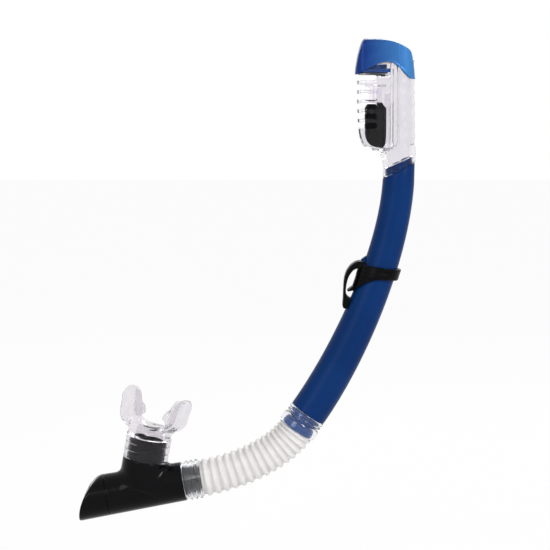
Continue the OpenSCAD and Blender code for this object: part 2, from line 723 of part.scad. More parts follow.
module purge_valve() {
    stem_gap = 0.2;
    valve_a = seat_a + fit_gap + 2.6 + fit_gap;
    color(clear_silicone) place(chamber_at, chamber_axis) translate([0, 0, valve_a]) {
        cylinder(r = disc_r, h = disc_t);
        translate([0, 0, -5.6]) cylinder(r = stem_hole_r - stem_gap, h = 6);
        translate([0, 0, -7.8]) cylinder(r1 = 1, r2 = stem_hole_r + 0.8, h = 2.4);
    }
}

// The slanted end is a round-backed cut: an arc whose middle lies under the chamber's axis
slant_r = 54;
slant_u = -26.9;
slant_a = purge_reach - slant_r;
louvre_pitch = 5.4;
louvre_top = 9.7;

module purge_shell(shrink) {
    intersection() {
        chamber_cone(chamber_len - 6, purge_reach + 10, shrink);
        translate([slant_u, 0, slant_a]) rotate([90, 0, 0]) cylinder(r = slant_r - shrink, h = 3 * slant_r, center = true);
    }
}

module purge_cover() {
    root_a = chamber_len + fit_gap;
    louvre_a = root_a + 3.4;
    rib_w = 3;
    louvre_l = 10.5;
    color(black_plastic) place(chamber_at, chamber_axis) difference() {
        intersection() {
            purge_shell(0);
            translate([-3 * slant_r, -3 * slant_r, root_a]) cube([6 * slant_r, 6 * slant_r, 2 * slant_r]);
        }
        purge_shell(chamber_wall);
        for (i = [0:louvre_count - 1], y = [rib_w / 2, -rib_w / 2 - louvre_l])
            translate([louvre_top - i * louvre_pitch - louvre_h / 2, y, louvre_a])
                cube([louvre_h, louvre_l, 2 * slant_r]);
    }
}

// ---- Mouthpiece, in a frame whose axis runs from the chamber's neck into the mouth ----

flange_centre = flange_z + 18;             // where the flange is widest
flange_power = 2.6;                        // how square the flange's curve is
flange_reach = flange_r + 14;              // where its upper and lower edges would run together
wing_h = 24;                               // half height of the curve above that place
mouth_bore = [13, 8.5];                    // half width and half height of the air way at the lips

function power_of(v, n) = sign(v) * pow(abs(v), 2 / n);
function flange_point(a, shrink) =
    [(flange_r - shrink) * power_of(sin(a), flange_power),
     flange_centre - ((cos(a) > 0 ? flange_centre - flange_z : wing_h) - shrink) * power_of(cos(a), flange_power)];

module ellipse_plate(half_x, half_y, z, h) {
    translate([0, 0, z]) linear_extrude(h) scale([half_x / half_y, 1]) circle(half_y);
}

// The lip flange: a band that follows the dental arch, with rounded ends
module flange_band() {
    last = 114;
    step = 12;
    intersection() {
        rotate([90, 0, 0]) linear_extrude(flange_h, center = true) polygon(concat(
            [for (a = [-last:step:last]) flange_point(a, 0)],
            [for (a = [last:-step:-last]) flange_point(a, flange_t)]));
        linear_extrude(2 * flange_centre) polygon([for (a = [0:10:350])
            [flange_reach * power_of(sin(a), flange_power), flange_h / 2 * power_of(cos(a), flange_power)]]);
    }
}

module mouthpiece() {
    color(clear_silicone) place(mouth_at, mouth_tilt) rotate(mouth_turn) difference() {
        union() {
            translate([0, 0, fit_gap]) cylinder(r = neck_r, h = port_h);
            hull() {
                translate([0, 0, port_h - 0.5]) cylinder(r = neck_r - 0.4, h = 0.5, $fn = 40);
                ellipse_plate(mouth_bore[0] + 9, mouth_bore[1] + 4.5, flange_z + 1, 0.5, $fn = 32);
            }
            flange_band();
            for (s = [-1, 1]) bite_tab(s);
        }
        translate([0, 0, fit_gap - cut]) cylinder(r = neck_r - neck_wall, h = port_h + cut);
        hull() {
            translate([0, 0, port_h - 0.6]) cylinder(r = port_bore_r - 1.5, h = 0.2, $fn = 32);
            ellipse_plate(mouth_bore[0], mouth_bore[1], flange_z + 6, 0.2, $fn = 32);
        }
    }
}

// A tab that the teeth close on, with the ridge behind them
module bite_tab(s) {
    ridge_h = 13;
    low = flange_z + 2.4;
    edge = flange_r - 0.8;
    rotate([90, 0, 0]) linear_extrude(tab_t, center = true) polygon([
        [s * 12.5, low + 1.6], [s * 12, low + 9], [s * 12.6, low + 20], [s * 15.5, low + 26.5],
        [s * 18.5, low + 30.4], [s * (edge - 6.7), low + 31.6], [s * (edge - 2.8), low + 29.4],
        [s * (edge - 0.7), low + 25], [s * edge, low + 18], [s * (edge - 0.5), low + 12],
        [s * (edge - 2.2), low + 6.6], [s * (edge - 6.4), low + 2.4], [s * 18, low]]);
    rotate([90, 0, 0]) linear_extrude(ridge_h, center = true) polygon([
        [s * 12, low + 7], [s * 12.3, low + 19.6], [s * 14.6, low + 25], [s * 16.8, low + 23.4],
        [s * 14.9, low + 19], [s * 14.6, low + 8]]);
}

barrel();
keeper();
duct_housing();
float_cage();
valve_seat();
seat_gasket();
top_cap();
float();
float_stem();
seal_pad();
upper_collar();
flex_hose();
lower_collar();
chamber();
mouthpiece();
purge_seat();
purge_valve();
purge_cover();
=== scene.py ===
"""The look of a dry-top snorkel, built piece by piece over its CAD frame.

Lengths are in millimetres until a mesh is made, in the part's own frame: +Z up, +X to the rear, Y across.
The smooth moulded pieces are written as signed distance fields and meshed on a grid, and the tubes are swept.
"""
import math

import bpy
import numpy as np
import openvdb as vdb
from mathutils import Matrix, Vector


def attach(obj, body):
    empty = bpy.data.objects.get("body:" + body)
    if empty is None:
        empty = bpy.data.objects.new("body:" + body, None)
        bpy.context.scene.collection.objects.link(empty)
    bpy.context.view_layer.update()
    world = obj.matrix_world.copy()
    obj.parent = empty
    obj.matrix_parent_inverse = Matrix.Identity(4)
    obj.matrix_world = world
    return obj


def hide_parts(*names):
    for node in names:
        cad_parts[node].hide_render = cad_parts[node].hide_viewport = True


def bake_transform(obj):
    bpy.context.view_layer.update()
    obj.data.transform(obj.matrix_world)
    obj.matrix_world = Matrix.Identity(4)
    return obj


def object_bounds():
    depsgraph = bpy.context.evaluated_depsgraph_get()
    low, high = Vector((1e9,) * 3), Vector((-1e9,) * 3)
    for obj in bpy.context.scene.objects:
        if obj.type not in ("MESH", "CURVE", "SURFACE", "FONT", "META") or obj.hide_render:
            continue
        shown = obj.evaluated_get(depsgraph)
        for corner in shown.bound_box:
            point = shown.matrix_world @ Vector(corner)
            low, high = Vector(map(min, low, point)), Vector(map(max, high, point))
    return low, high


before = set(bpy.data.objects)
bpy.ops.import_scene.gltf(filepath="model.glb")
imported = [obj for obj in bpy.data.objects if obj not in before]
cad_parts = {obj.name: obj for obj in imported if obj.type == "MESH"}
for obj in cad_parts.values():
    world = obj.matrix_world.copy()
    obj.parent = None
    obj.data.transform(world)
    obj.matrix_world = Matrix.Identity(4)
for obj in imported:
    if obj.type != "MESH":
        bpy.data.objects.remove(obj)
cad_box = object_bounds()

MM = 0.001
SIDES = 112                      # sides of a swept or turned piece
VOXEL = 0.42


# ---- Sizes, as in the CAD source ----

def along(tilt, d):
    """d along an axis in the XZ plane that leans by tilt degrees from the vertical."""
    return np.array([math.sin(math.radians(tilt)), math.cos(math.radians(tilt))]) * d


def across(tilt, d):
    """d square to that axis, towards the rear."""
    return np.array([math.cos(math.radians(tilt)), -math.sin(math.radians(tilt))]) * d


def bezier(p, t):
    """The place at share t of a curve with four control points."""
    return (1 - t) ** 3 * p[0] + 3 * (1 - t) ** 2 * t * p[1] + 3 * (1 - t) * t * t * p[2] + t ** 3 * p[3]


def bezier_dir(p, t):
    """The way that curve runs there."""
    d = (1 - t) ** 2 * (p[1] - p[0]) + 2 * (1 - t) * t * (p[2] - p[1]) + t * t * (p[3] - p[2])
    return d / np.linalg.norm(d)


FIT = 0.1                        # play between pieces that are fitted together

# barrel; slopes and leans are in degrees
BARREL_TOP_R, BARREL_BOTTOM_R = 14.1, 17.0
RISE, RUN, LEAN = 218.7, 80.6, 35.0
SHOULDER_SLOPE, SPIGOT_RISE = 26.0, 7.5

# keeper; its station is a share of the barrel's curve
KEEPER_STATION, RING_H, RING_TOP, RING_SLOPE, KEEPER_WALL, KEEPER_GAP = 0.41, 10.3, 4.2, 10.0, 2.9, 0.4
SLOT_W, SLOT_H, HOOK_T, HOOK_W, FOOT_DROP = 5.8, 20.0, 3.6, 15.0, 17.3

# dry top, from the barrel's upper shoulder
CAGE_FRONT, CAGE_HALF, SEAM, REAR_R, CLEAR_WALL = -38.5, 15.5, -8.4, 14.2, 2.0
FLOOR, CEILING, CAP_H = 17.6, 87.0, 29.9
VENT_H, VENT_PITCH, VENTS = 5.0, 8.4, 6
WAVE_PITCH, WAVE_DEPTH = 9.6, 0.28
FLOAT_H, FLOAT_HALF_X, FLOAT_HALF_Y, FLOAT_PLAY = 40.0, 9.75, 11.0, 0.3
PORT_X, PORT_R, GASKET_T, LIP_H, PAD_T, TRAVEL = -21.0, 8.0, 1.2, 1.4, 2.2, 8.0

# hose and collars
UPPER_COLLAR, LOWER_COLLAR, COLLAR_R = 18.0, 16.5, 17.4
CREST_R, VALLEY_R, HOSE_BORE_R, RIBS = 16.8, 15.0, 13.5, 15
HOSE_RUN, HOSE_DROP = 85.0, 44.4

# chamber; A is along its axis and U up from it
TILT, CHAMBER_R, CHAMBER_END_R, CHAMBER_LEN, WALL = 10.0, 17.5, 18.8, 70.0, 2.2
NECK_A, NECK_U, NECK_LEAN, NECK_R, NECK_WALL, PORT_H = 30.8, 25.6, 20.0, 20.2, 3.0, 20.0
MOUTH_TURN, FLANGE_Z, FLANGE_R, FLANGE_H, FLANGE_T = -35.0, 28.5, 28.5, 32.0, 2.4
PURGE_REACH, SLANT_R, SLANT_U = 99.5, 54.0, -26.9
LOUVRES, LOUVRE_PITCH, LOUVRE_TOP, LOUVRE_H, LOUVRE_L, LOUVRE_RIB = 5, 5.4, 9.7, 1.8, 10.5, 3.0
SEAT_DEPTH, VALVE_A, DISC_R, DISC_T, STEM_R = 4.0, 68.8, 13.0, 1.3, 1.5

route = [np.zeros(2), np.array([0, -0.31 * RISE]),
         np.array([-RUN, -RISE]) + along(LEAN, 0.306 * RISE), np.array([-RUN, -RISE])]


def barrel_r(t):
    """The barrel's outer radius at share t of its curve, from the top."""
    return BARREL_TOP_R + (BARREL_BOTTOM_R - BARREL_TOP_R) * t * t * (3 - 2 * t)


keeper_dir = bezier_dir(route, KEEPER_STATION)
KEEPER_TILT = math.degrees(math.atan2(-keeper_dir[0], -keeper_dir[1]))
KEEPER_BORE = barrel_r(KEEPER_STATION) + KEEPER_GAP
KEEPER_R = KEEPER_BORE + KEEPER_WALL
HOOK_TOP = RING_TOP + 2.4
PLATE_BOTTOM = RING_TOP - SLOT_H - 5.4
slot_at = (bezier(route, KEEPER_STATION) + across(KEEPER_TILT, -KEEPER_R - SLOT_W / 2)
           + along(KEEPER_TILT, RING_TOP - SLOT_H / 2 - 4.5))
route = [p - slot_at for p in route]
KEEPER_AT = bezier(route, KEEPER_STATION)
TOP_AT, BARREL_END = route[0], route[3]
CHAMBER_AXIS = -90 - TILT
HOSE_START = BARREL_END - along(LEAN, UPPER_COLLAR)
HOSE_END = HOSE_START - np.array([HOSE_RUN, HOSE_DROP])
CHAMBER_AT = HOSE_END + along(CHAMBER_AXIS, LOWER_COLLAR)
hose_route = [HOSE_START, HOSE_START - along(LEAN, 0.28 * HOSE_RUN),
              HOSE_END - along(CHAMBER_AXIS, 0.44 * HOSE_RUN), HOSE_END]
MOUTH_AT = CHAMBER_AT + along(CHAMBER_AXIS, NECK_A) + across(CHAMBER_AXIS, NECK_U)
MOUTH_TILT = NECK_LEAN - TILT
SPIGOT_R, SPIGOT_WALL = HOSE_BORE_R - FIT, 1.8
TOP_SPIGOT_R = BARREL_TOP_R - CLEAR_WALL - FIT
HOUSING_TOP = CEILING + 11
VENTS_TOP = CEILING - 2.4
FLOAT_LOW = FLOOR + CLEAR_WALL + FLOAT_PLAY


# ---- Materials ----

PATCH_EDGES = (0.36, 0.64)       # between these values of a noise, one colour turns into the other
PAINTED_SHADING_EDGES = (0.1, 1.0)          # the same for the cap's painted light and shade, whose dark and pale blues blend over its whole depth
NOISE_SWING = (0.3, 0.7)         # the part of 0...1 that a noise really covers
PEARL_DRIFT = 0.2                # how much the random drift of the flakes adds to the cap's painted light and shade


def linear(code):
    """The linear colour of an sRGB hex code."""
    parts = [int(code[i:i + 2], 16) / 255 for i in (1, 3, 5)]
    return (*[c / 12.92 if c <= 0.04045 else ((c + 0.055) / 1.055) ** 2.4 for c in parts], 1.0)


def add(tree, kind, settings=None, inputs=None):
    """Adds a node. Each of its inputs is given a value, or is linked to a socket."""
    node = tree.nodes.new(kind)
    for name, value in (settings or {}).items():
        setattr(node, name, value)
    for name, value in (inputs or {}).items():
        if isinstance(value, bpy.types.NodeSocket):
            tree.links.new(value, node.inputs[name])
        else:
            node.inputs[name].default_value = value
    return node


def moulded(name, colours, patch, gloss, grain=None, painted_shading=None, **look):
    """A moulded finish, with its sizes in millimetres on the object.

    The colour wanders between two sRGB codes over patches, or, as painted light and shade, fades from
    one to the other between two places along X. gloss is the lowest and highest roughness and the size of its
    patches, and grain is the width and depth of its relief.
    """
    material = bpy.data.materials.new(name)
    material.use_nodes = True
    tree = material.node_tree
    tree.nodes.clear()
    place = add(tree, "ShaderNodeTexCoord").outputs["Object"]

    wander = add(tree, "ShaderNodeTexNoise",
                 inputs={"Vector": place, "Scale": 1000 / patch, "Detail": 3.0}).outputs["Fac"]
    edges = PATCH_EDGES
    # painted light and shade: the colour runs from its dark code to its pale one between two places along X
    if painted_shading:
        x = add(tree, "ShaderNodeSeparateXYZ", inputs={"Vector": place}).outputs["X"]
        there = add(tree, "ShaderNodeMapRange",
                    inputs={"Value": x, "From Min": painted_shading[0] * MM, "From Max": painted_shading[1] * MM}).outputs["Result"]
        wander = add(tree, "ShaderNodeMath", {"operation": "MULTIPLY_ADD"},
                     {0: wander, 1: PEARL_DRIFT, 2: there}).outputs["Value"]
        edges = PAINTED_SHADING_EDGES
    ramp = add(tree, "ShaderNodeValToRGB", inputs={"Fac": wander})
    for element, edge, code in zip(ramp.color_ramp.elements, edges, colours):
        element.position, element.color = edge, linear(code)

    smoothest, roughest, size = gloss
    sheen = add(tree, "ShaderNodeTexNoise", inputs={"Vector": place, "Scale": 1000 / size, "Detail": 3.0})
    rough = add(tree, "ShaderNodeMapRange",
                inputs={"Value": sheen.outputs["Fac"], "From Min": NOISE_SWING[0], "From Max": NOISE_SWING[1],
                        "To Min": smoothest, "To Max": roughest})
    inputs = {key.replace("_", " "): value for key, value in look.items()}
    inputs.update({"Base Color": ramp.outputs["Color"], "Roughness": rough.outputs["Result"]})
    if grain:
        width, depth = grain
        relief = add(tree, "ShaderNodeTexNoise",
                     inputs={"Vector": place, "Scale": 1000 / width, "Detail": 2.0})
        bump = add(tree, "ShaderNodeBump", inputs={"Height": relief.outputs["Fac"], "Distance": depth * MM})
        inputs["Normal"] = bump.outputs["Normal"]
    shader = add(tree, "ShaderNodeBsdfPrincipled", inputs=inputs)
    add(tree, "ShaderNodeOutputMaterial", inputs={"Surface": shader.outputs["BSDF"]})
    return material


# The grain that a mould leaves is some 0.1 mm wide, too fine for the render, so it is drawn 0.5 to 1.2 mm
# wide and only a few thousandths deep. Relief wider than that is the soft wave of a moulded wall. Dark pieces
# get a low specular level, because a white room would turn them grey. Clear pieces get a lower IOR than the
# real 1.4 to 1.58, because their many thin walls would look dark at their edges.
finishes = {
    # moulded PVC with a satin skin: one deep blue, soft highlights and no sparkle
    "barrel": moulded("satin_blue_pvc", ("#06295c", "#0a3066"), 60, (0.3, 0.42, 3), (1.2, 0.004),
                      Specular_IOR_Level=0.06),
    # moulded ABS with pearl flakes: its blue is painted paler to the rear and darker to the front, as painted
    # light and shade. The flakes are finer than a tenth of a millimetre, so only their slow drift over 9 mm
    # is drawn
    "cap": moulded("pearl_blue_abs_painted_shading", ("#0a3076", "#3a76b4"), 9, (0.3, 0.4, 2), (0.5, 0.003), painted_shading=(10, 52),
                   Metallic=0.3, Specular_IOR_Level=0.1, Coat_Weight=0.12, Coat_Roughness=0.1),
    # moulded ABS of the cap's blue without the pearl: a plain blue edge under the cap's arch
    "seat": moulded("blue_abs", ("#123f80", "#184a90"), 10, (0.3, 0.4, 2), Specular_IOR_Level=0.15),
    # moulded nylon: near black, with short soft highlights along its edges
    "keeper": moulded("satin_black_nylon", ("#040406", "#08080a"), 9, (0.28, 0.4, 2), (0.8, 0.004),
                      Specular_IOR_Level=0.06),
    # ABS from a polished mould: black with small sharp highlights, a little wavy where it sank while cooling
    "chamber": moulded("polished_black_abs", ("#050506", "#08070a"), 25, (0.1, 0.2, 4), (9, 0.01),
                       Specular_IOR_Level=0.09),
    # closed-cell foam with a cut skin: matt black. Its cells are about 0.3 mm and are drawn 0.9 mm wide
    "float": moulded("black_foam", ("#070608", "#0c0b0e"), 3, (0.5, 0.68, 1), (0.9, 0.02),
                     Specular_IOR_Level=0.05),
    # moulded silicone rubber: a matt dark line between the clear pieces
    "gasket": moulded("black_silicone", ("#08070a", "#0e0d10"), 5, (0.5, 0.62, 2), (1.0, 0.005),
                      Specular_IOR_Level=0.06),
    # polished polycarbonate: clear as water, with bright edges and faint waves from the mould's flow
    "cage": moulded("clear_polycarbonate", ("#efedf1", "#f4f2f6"), 20, (0.03, 0.07, 6), (7, 0.006),
                    Transmission_Weight=1.0, IOR=1.24),
    # polycarbonate from a blasted mould: a soft haze that blurs what lies behind
    "housing": moulded("frosted_polycarbonate", ("#eeecf0", "#f3f1f5"), 12, (0.14, 0.2, 8), (9, 0.01),
                       Transmission_Weight=1.0, IOR=1.2),
    # a lit copy of the barrel's PVC where a clear collar covers it: its blue is painted paler, as painted
    # light for what the collar spreads on it
    "spigot": moulded("blue_pvc_spigot_painted_light", ("#1f4886", "#265092"), 10, (0.3, 0.4, 2), Specular_IOR_Level=0.1),
    # soft moulded PVC: clear, with dark and bright streaks at its rings
    "collar": moulded("clear_pvc", ("#f0f1f4", "#f7f8fa"), 8, (0.03, 0.08, 3), (3, 0.006),
                      Transmission_Weight=1.0, IOR=1.4),
    # silicone with a milky filler: light sinks in some 4 mm and leaves the ribs soft and white
    "hose": moulded("milky_silicone", ("#eeebe9", "#f4f1ef"), 11, (0.36, 0.48, 3), (2.5, 0.01),
                    Subsurface_Weight=0.5, Subsurface_Radius=(0.004, 0.004, 0.0036), Subsurface_Scale=1.0,
                    Specular_IOR_Level=0.2, Transmission_Weight=0.2),
    # clear moulded silicone: clear with a breath of grey, and softer at its edges than the hard plastics
    "silicone": moulded("clear_silicone", ("#e4e1e6", "#ece9ed"), 9, (0.12, 0.2, 3), (2.2, 0.006),
                        Transmission_Weight=0.99, IOR=1.17),
}


# ---- Making meshes ----

def piece(name, points, faces, finish, body, replaced=()):
    """A finished piece in the scene, from points in millimetres. It rides on body, unless that is None."""
    mesh = bpy.data.meshes.new(name)
    mesh.from_pydata(np.asarray(points, float) * MM, [], faces)
    mesh.polygons.foreach_set("use_smooth", [True] * len(mesh.polygons))
    mesh.materials.append(finishes[finish])
    obj = bpy.data.objects.new(name, mesh)
    bpy.context.collection.objects.link(obj)
    if body:
        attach(obj, body)
    if replaced:
        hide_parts(*replaced)
    return obj


def ring(centre, down, radius, slope=0.0):
    """Points round a tube that runs along down. slope leans the ring's rear up the tube."""
    a = np.linspace(0, 2 * math.pi, SIDES, endpoint=False)
    front = np.outer(radius * np.cos(a), (down[1], -down[0]))
    up = np.outer(radius * np.cos(a) * math.tan(math.radians(slope)), down)
    flat = np.asarray(centre) + front + up
    return np.stack([flat[:, 0], radius * np.sin(a), flat[:, 1]], axis=1)


def skin(rings):
    """Points and faces of a loop of rings, down the outside and back up the inside."""
    count, n = len(rings), SIDES
    faces = [(j * n + i, j * n + (i + 1) % n, (j + 1) % count * n + (i + 1) % n, (j + 1) % count * n + i)
             for j in range(count) for i in range(n)]
    return np.concatenate(rings), faces


def soften(points, times=2):
    """Rounds the corners of an outline by cutting them off again and again."""
    points = np.asarray(points, float)
    for _ in range(times):
        after = np.roll(points, -1, axis=0)
        points = np.stack([0.8 * points + 0.2 * after, 0.2 * points + 0.8 * after], axis=1).reshape(-1, 2)
    return points


def turned(name, profile, at, tilt, finish, body, replaced=()):
    """A turned piece: profile is a closed loop of (radius, distance along the axis)."""
    axis = along(tilt, 1.0)
    rings = [ring(at + axis * z, axis, r) for r, z in soften(profile)]
    return piece(name, *skin(rings), finish, body, replaced)


# ---- Signed distance fields: negative inside, in millimetres ----

def local(p, at, tilt):
    """A point's place in a frame at a point of the XZ plane whose Z axis leans by tilt."""
    c, s = math.cos(math.radians(tilt)), math.sin(math.radians(tilt))
    dx, dz = p[0] - at[0], p[2] - at[1]
    return c * dx - s * dz, p[1], s * dx + c * dz


def join(a, b, k=0.0):
    """Both shapes, with a fillet about k wide between them."""
    if not k:
        return np.minimum(a, b)
    h = np.clip(0.5 + 0.5 * (b - a) / k, 0, 1)
    return b + (a - b) * h - k * h * (1 - h)


def meet(a, b, k=0.0):
    """What both shapes share, with a rounded edge about k wide."""
    return -join(-a, -b, k)


def less(a, b, k=0.0):
    """a with b cut away."""
    return meet(a, -b, k)


def between(v, low, high):
    return np.maximum(low - v, v - high)


def disc(u, v, r):
    return np.hypot(u, v) - r


def plate(u, v, half_u, half_v, r):
    """A rectangle with rounded corners."""
    qu, qv = np.abs(u) - half_u + r, np.abs(v) - half_v + r
    return np.hypot(np.maximum(qu, 0), np.maximum(qv, 0)) + np.minimum(np.maximum(qu, qv), 0) - r


def outline(u, v, points):
    """Distance to a closed polygon."""
    u, v = np.broadcast_arrays(u, v)
    best = np.full(u.shape, 1e9, np.float32)
    inside = np.zeros(u.shape, bool)
    for (au, av), (bu, bv) in zip(points, np.roll(points, -1, axis=0)):
        eu, ev = bu - au, bv - av
        du, dv = u - au, v - av
        t = np.clip((du * eu + dv * ev) / (eu * eu + ev * ev + 1e-9), 0, 1)
        best = np.minimum(best, (du - eu * t) ** 2 + (dv - ev * t) ** 2)
        crosses = (av > v) != (bv > v)
        inside ^= crosses & (du < dv * (eu / (ev if ev else 1e-9)))
    return np.where(inside, -1, 1) * np.sqrt(best)


def solid(name, field, low, high, finish, body, replaced=(), at=(0, 0), tilt=0.0, turn=0.0, voxel=VOXEL):
    """A piece meshed from its distance field on a grid over low...high.

    The grid, and the point that field is given, lie in a frame at a point of the XZ plane. Its Z axis leans
    by tilt degrees, and it is turned about that axis.
    """
    axes = [np.arange(a - 2 * voxel, b + 3 * voxel, voxel, dtype=np.float32) for a, b in zip(low, high)]
    distance = field(np.meshgrid(*axes, indexing="ij", sparse=True))
    distance = np.broadcast_to(distance, [len(a) for a in axes])
    grid = vdb.FloatGrid()
    grid.background = 3 * voxel
    grid.copyFromArray(np.ascontiguousarray(np.clip(distance, -3 * voxel, 3 * voxel), dtype=np.float32))
    points, quads = grid.convertToQuads()
    x, y, z = (points * voxel + np.array([a[0] for a in axes])).T
    c, s = math.cos(math.radians(turn)), math.sin(math.radians(turn))
    x, y = c * x - s * y, s * x + c * y
    flat = np.asarray(at) + np.outer(x, across(tilt, 1)) + np.outer(z, along(tilt, 1))
    return piece(name, np.stack([flat[:, 0], y, flat[:, 1]], axis=1), quads, finish, body, replaced)


# ---- Barrel ----

def route_rings(path, radius, start, stop, count):
    """Rings along a curve, with a radius that changes on the way."""
    return [ring(bezier(path, t), bezier_dir(path, t), radius(t)) for t in np.linspace(start, stop, count)]


def build_barrel():
    """The curved tube with a spigot at each end, and the stop over the keeper."""
    down, low_dir = np.array([0.0, -1.0]), -along(LEAN, 1)
    bore = SPIGOT_R - SPIGOT_WALL
    spigot_len = UPPER_COLLAR - 2
    shoulder = barrel_r(0)
    rings = [
        ring(TOP_AT - down * SPIGOT_RISE, down, TOP_SPIGOT_R - 0.5, SHOULDER_SLOPE),
        ring(TOP_AT - down * (SPIGOT_RISE - 0.5), down, TOP_SPIGOT_R, SHOULDER_SLOPE),
        ring(TOP_AT, down, TOP_SPIGOT_R, SHOULDER_SLOPE),
        ring(TOP_AT, down, shoulder - 0.6, SHOULDER_SLOPE),
        ring(TOP_AT + down * 0.15, down, shoulder - 0.15, SHOULDER_SLOPE),
        ring(TOP_AT + down * 0.6, down, shoulder, SHOULDER_SLOPE)]
    rings += route_rings(route, barrel_r, 0.05, 0.995, 140)
    rings += [ring(BARREL_END - low_dir * 0.3, low_dir, BARREL_BOTTOM_R - 0.15),
              ring(BARREL_END, low_dir, BARREL_BOTTOM_R - 0.7),
              ring(BARREL_END, low_dir, SPIGOT_R),
              ring(BARREL_END + low_dir * spigot_len, low_dir, SPIGOT_R),
              ring(BARREL_END + low_dir * spigot_len, low_dir, bore),
              ring(BARREL_END, low_dir, bore)]
    rings += route_rings(route, lambda t: min(barrel_r(t) - WALL, bore + (1 - t) * 20), 0.96, 0.08, 40)
    rings += [ring(TOP_AT + down * 2, down, TOP_SPIGOT_R - SPIGOT_WALL, SHOULDER_SLOPE),
              ring(TOP_AT - down * SPIGOT_RISE, down, TOP_SPIGOT_R - SPIGOT_WALL, SHOULDER_SLOPE)]
    piece("barrel_tube", *skin(rings), "barrel", "tube", ["barrel"])

    def stop(p):
        x, y, z = p
        low, face = HOOK_TOP + 0.3, -KEEPER_BORE - 3.2    # it stands 0.3 mm over the hook
        ramp = outline(x, z, soften([
            (-KEEPER_BORE + 2.4, low), (face, low), (face + 0.3, low + 1), (face + 2.1, low + 3.6),
            (-KEEPER_BORE + 1.6, low + 6.6), (-KEEPER_BORE + 2.4, low + 7)], 1))
        return meet(ramp, np.abs(y) - 3.5, 1.0)
    solid("barrel_stop", stop, (-KEEPER_BORE - 4, -4, HOOK_TOP), (-KEEPER_BORE + 4, 4, HOOK_TOP + 9),
          "barrel", "tube", at=KEEPER_AT, tilt=KEEPER_TILT, voxel=0.25)


# ---- Keeper ----

def keeper(p):
    """The keeper's field: a sloped ring, a front plate with a barb, and an open hook in front of it."""
    x, y, z = p
    # the barrel's axis and radius, seen from the keeper
    t = np.linspace(0.25, 0.75, 60)
    centres = np.array([bezier(route, s) - KEEPER_AT for s in t])
    up = centres @ along(KEEPER_TILT, 1)
    side = centres @ across(KEEPER_TILT, 1)
    order = np.argsort(up)
    axis_x = np.interp(z, up[order], side[order]).astype(np.float32)
    radius = np.interp(z, up[order], barrel_r(t)[order]).astype(np.float32)
    barrel = np.hypot(x - axis_x, y) - radius - KEEPER_GAP

    tube = np.hypot(x, y) - KEEPER_R
    slope = math.radians(RING_SLOPE)
    height = math.cos(slope) * (z - RING_TOP) - math.sin(slope) * (x + KEEPER_R)
    ring_band = meet(tube, between(height, -RING_H, 0), 0.9)
    scoop = disc(x - KEEPER_R - 3.5, z - PLATE_BOTTOM + 19, 43)
    front = meet(tube, less(between(z, PLATE_BOTTOM, RING_TOP - 2), scoop, 1.2), 0.9)

    def at(out, up):
        return -KEEPER_R - out, up
    foot, arm, top = PLATE_BOTTOM - FOOT_DROP, SLOT_W + HOOK_T, RING_TOP
    hook = outline(x, z, soften([
        # down the outside of the arm to the rounded foot
        at(-6, HOOK_TOP - 0.1), at(0.8, HOOK_TOP), at(arm - 4.9, top - 0.1), at(arm - 1.7, top - 4.6),
        at(arm, top - 10.4), at(arm - 0.2, top - 17.4), at(arm - 2.5, top - 26), at(4.2, foot + 8),
        at(2.7, foot + 1.8), at(1.4, foot + 0.2), at(-0.2, foot), at(-3, foot + 1.4), at(-4.9, foot + 5.4),
        # and up the inside of the slot
        at(-4.9, foot + 10), at(-1.5, foot + 10.6), at(0.9, foot + 11.2), at(SLOT_W - 3.2, foot + 12.4),
        at(SLOT_W - 1.8, foot + 15), at(SLOT_W - 0.8, top - 24), at(SLOT_W, top - 19), at(SLOT_W, top - 15),
        at(SLOT_W - 0.3, top - 12.5), at(SLOT_W - 1.9, top - 7.6), at(0.6, top - 4.6), at(-6, top - 4.6)]))
    barb = outline(x, z, soften([
        at(-1, PLATE_BOTTOM + 4), at(0, PLATE_BOTTOM + 3.4), at(3.2, PLATE_BOTTOM - 1.2),
        at(2.2, PLATE_BOTTOM - 1.8), at(-1, PLATE_BOTTOM)], 1))
    strips = meet(join(hook, barb, 0.6), np.abs(y) - HOOK_W / 2, 1.4)
    return less(join(join(ring_band, front, 1.5), strips, 1.2), barrel, 0.5)


def build_keeper():
    low = (-KEEPER_R - 10, -KEEPER_R, PLATE_BOTTOM - FOOT_DROP)
    solid("strap_keeper_clip", keeper, low, (KEEPER_R, KEEPER_R, 12), "keeper", "strap_keeper", ["keeper"],
          at=KEEPER_AT, tilt=KEEPER_TILT)


# ---- Dry top, in a frame on the barrel's upper shoulder ----

def plan(x, y, grow=0.0):
    """The dry top's outline from above."""
    middle = CAGE_FRONT / 2
    box = plate(x - middle, y, -middle + grow, CAGE_HALF + grow, 9 + grow)
    square = plate(x + 6, y, 6, CAGE_HALF + grow, 0.01)
    return join(join(box, square), disc(x, y, REAR_R + grow), 0.8)


def cage_side(x, z, inset=0.0):
    """The cage's outline from the side, open to the rear."""
    f = CAGE_FRONT
    return outline(x, z, soften([
        (f + 3.6, HOUSING_TOP + 1), (f, CEILING - 6), (f + 0.2, CEILING - 30), (f + 1.3, FLOOR + 25),
        (f + 2.9, FLOOR + 13), (f + 5.8, FLOOR + 5), (f + 10, FLOOR + 1.3), (f + 18, FLOOR), (40, FLOOR),
        (40, HOUSING_TOP + 1)])) + inset


